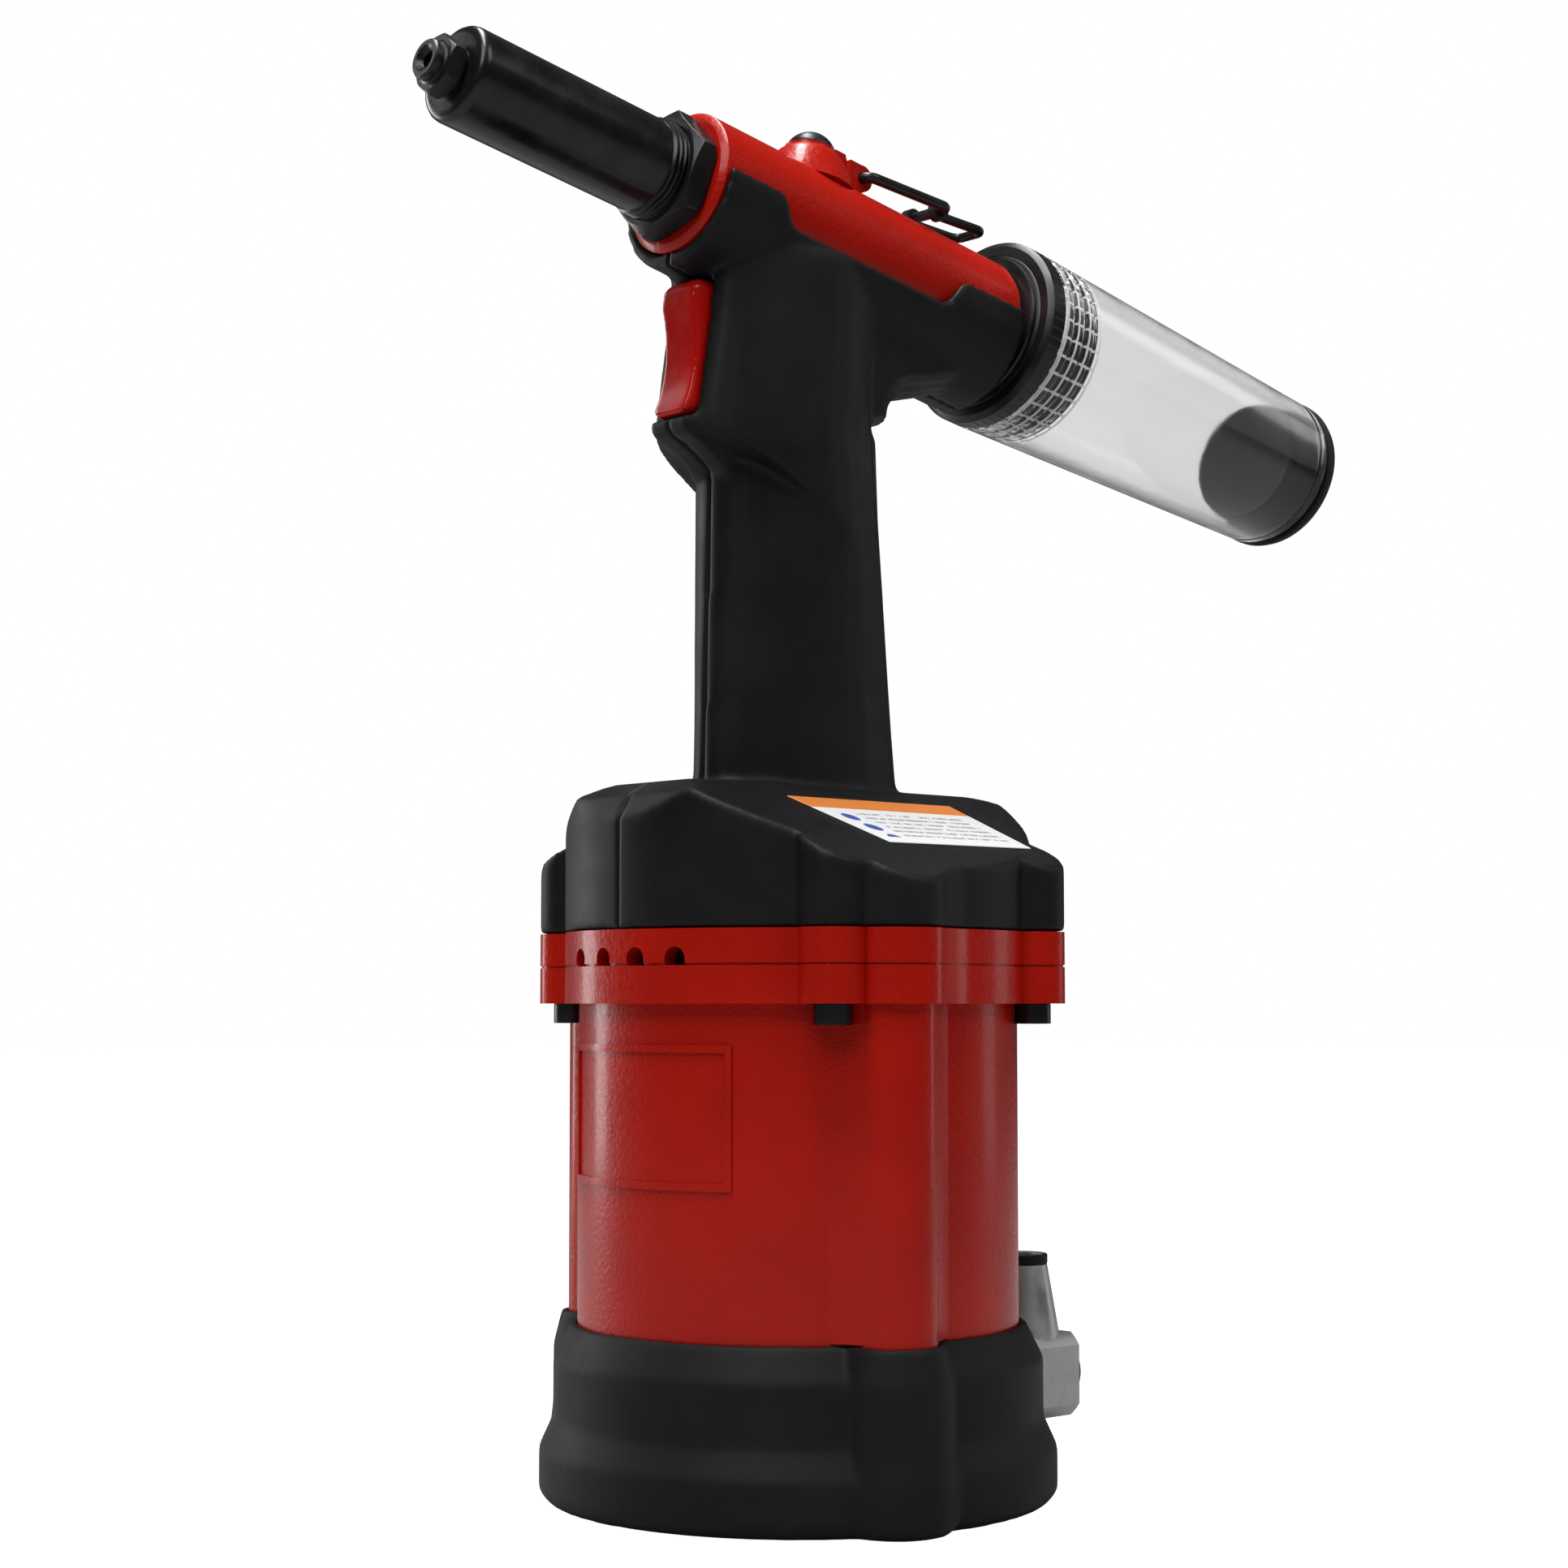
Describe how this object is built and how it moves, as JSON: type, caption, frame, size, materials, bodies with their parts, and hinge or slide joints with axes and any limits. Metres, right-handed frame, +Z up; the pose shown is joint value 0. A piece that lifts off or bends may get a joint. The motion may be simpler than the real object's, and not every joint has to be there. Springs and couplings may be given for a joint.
{
  "type": "pneumatic rivet gun",
  "caption": "Air-hydraulic blind rivet puller: upright air cylinder, pistol grip with trigger, tilted pulling head, nosepiece, mandrel bottle and swivel air inlet.",
  "frame": {"origin": "centre of the flat base on the air cylinder's axis", "axes": "+Z up along the air cylinder and the grip, -X toward the nose, +X toward the bottle and the air inlet, -Y the tool's left side; rest pose: piston down, trigger out, bottle on"},
  "size_m": [0.3027, 0.128, 0.3296],
  "materials": {
    "red_paint": "satin texture coat",
    "cover_black": "fine moulded texture",
    "rubber": "matte",
    "black_oxide": "black oxide, semi gloss",
    "steel": "machined",
    "brass": "machined",
    "silver": "cast, satin",
    "clear_plastic": "clear",
    "trigger_red": "gloss",
    "label": "printed film",
    "foam": "open foam"
  },
  "bodies": {
    "frame": {"base_boot": "rubber", "air_cylinder": "red_paint", "ram_gland": "brass", "cylinder_seal": "rubber", "silencer_pad": "foam", "flange_screws": "black_oxide", "valve_sleeve": "brass", "valve_spring": "steel", "frame_casting": "red_paint", "fill_screw": "black_oxide", "front_gland": "brass", "return_spring": "steel", "rear_end_cap": "black_oxide", "nose_sleeve": "black_oxide", "sleeve_lock_nut": "black_oxide", "nosepiece": "black_oxide", "collector_adapter": "cover_black", "left_cover": "cover_black", "right_cover": "cover_black", "label_plate": "label", "trigger_bush": "brass", "trigger_spring": "steel", "pilot_tube": "brass", "inlet_bush": "steel", "banjo_bolt": "black_oxide"},
    "air_piston": {"air_piston": "silver", "air_piston_seal": "rubber", "ram_rod": "steel", "ram_nut": "steel"},
    "pull_piston": {"pull_piston": "steel", "pull_piston_seal": "rubber", "jaw_case": "black_oxide"},
    "jaw_1": {"jaw_1": "steel"},
    "jaw_2": {"jaw_2": "steel"},
    "jaw_3": {"jaw_3": "steel"},
    "jaw_pusher": {"jaw_pusher": "steel", "jaw_spring": "steel"},
    "trigger": {"trigger": "trigger_red", "trigger_stem": "steel"},
    "valve_spool": {"valve_spool": "steel"},
    "hanger_bail": {"hanger_bail": "black_oxide"},
    "hanger_link": {"hanger_link": "black_oxide"},
    "knurled_ring": {"knurled_ring": "black_oxide"},
    "collector_bottle": {"collector_bottle": "clear_plastic"},
    "bottle_end_cap": {"bottle_end_cap": "rubber"},
    "inlet_swivel": {"inlet_swivel": "silver", "inlet_ring": "rubber"}
  },
  "joints": [
    {"name": "air_piston_slide", "type": "slide", "parent": "frame", "child": "air_piston", "axis": [0, 0, 1], "range_m": [0, 0.05]},
    {"name": "pull_piston_slide", "type": "slide", "parent": "frame", "child": "pull_piston", "axis": [0.9835, 0, -0.1809], "range_m": [0, 0.024], "deforming": ["return_spring"]},
    {"name": "jaw_1_slide", "type": "slide", "parent": "pull_piston", "child": "jaw_1", "axis": [-0.8585, 0, 0.5128], "range_m": [0, 0.0008]},
    {"name": "jaw_2_slide", "type": "slide", "parent": "pull_piston", "child": "jaw_2", "axis": [-0.9532, -0.3023, -0.0021], "range_m": [0, 0.0008]},
    {"name": "jaw_3_slide", "type": "slide", "parent": "pull_piston", "child": "jaw_3", "axis": [-0.9532, 0.3023, -0.0021], "range_m": [0, 0.0008]},
    {"name": "jaw_pusher_slide", "type": "slide", "parent": "pull_piston", "child": "jaw_pusher", "axis": [-0.9835, 0, 0.1809], "range_m": [0, 0.0008], "deforming": ["jaw_spring"]},
    {"name": "trigger_slide", "type": "slide", "parent": "frame", "child": "trigger", "axis": [1, 0, 0], "range_m": [0, 0.0045], "stiffness_N_per_m": 900, "springref_m": -0.003, "deforming": ["trigger_spring"]},
    {"name": "valve_spool_slide", "type": "slide", "parent": "frame", "child": "valve_spool", "axis": [0, 0, -1], "range_m": [0, 0.004], "deforming": ["valve_spring"]},
    {"name": "hanger_bail_hinge", "type": "hinge", "parent": "frame", "child": "hanger_bail", "pos_m": [0.01601, 0, 0.31725], "axis": [0, -1, 0], "range_deg": [0, 100]},
    {"name": "hanger_link_hinge", "type": "hinge", "parent": "hanger_bail", "child": "hanger_link", "pos_m": [0.04388, 0, 0.31456], "axis": [0, -1, 0], "range_deg": [0, 135]},
    {"name": "knurled_ring_turn", "type": "hinge", "parent": "frame", "child": "knurled_ring", "pos_m": [0.06688, 0, 0.28756], "axis": [0.9835, 0, -0.1809], "range_deg": [0, 60]},
    {"name": "bottle_slide", "type": "slide", "parent": "frame", "child": "collector_bottle", "axis": [0.9835, 0, -0.1809], "range_m": [0, 0.03]},
    {"name": "end_cap_pull", "type": "slide", "parent": "collector_bottle", "child": "bottle_end_cap", "axis": [0.9835, 0, -0.1809], "range_m": [0, 0.02]},
    {"name": "inlet_swivel_hinge", "type": "hinge", "parent": "frame", "child": "inlet_swivel", "pos_m": [0.077, 0, 0.0215], "axis": [1, 0, 0], "range_deg": [-100, 100]}
  ],
  "couplings": [
    {"joint": "pull_piston_slide", "follows": "air_piston_slide", "ratio": 0.48},
    {"joint": "jaw_1_slide", "follows": "air_piston_slide", "ratio": 0.016},
    {"joint": "jaw_2_slide", "follows": "air_piston_slide", "ratio": 0.016},
    {"joint": "jaw_3_slide", "follows": "air_piston_slide", "ratio": 0.016},
    {"joint": "jaw_pusher_slide", "follows": "air_piston_slide", "ratio": 0.015},
    {"joint": "valve_spool_slide", "follows": "trigger_slide", "ratio": 0.888}
  ]
}
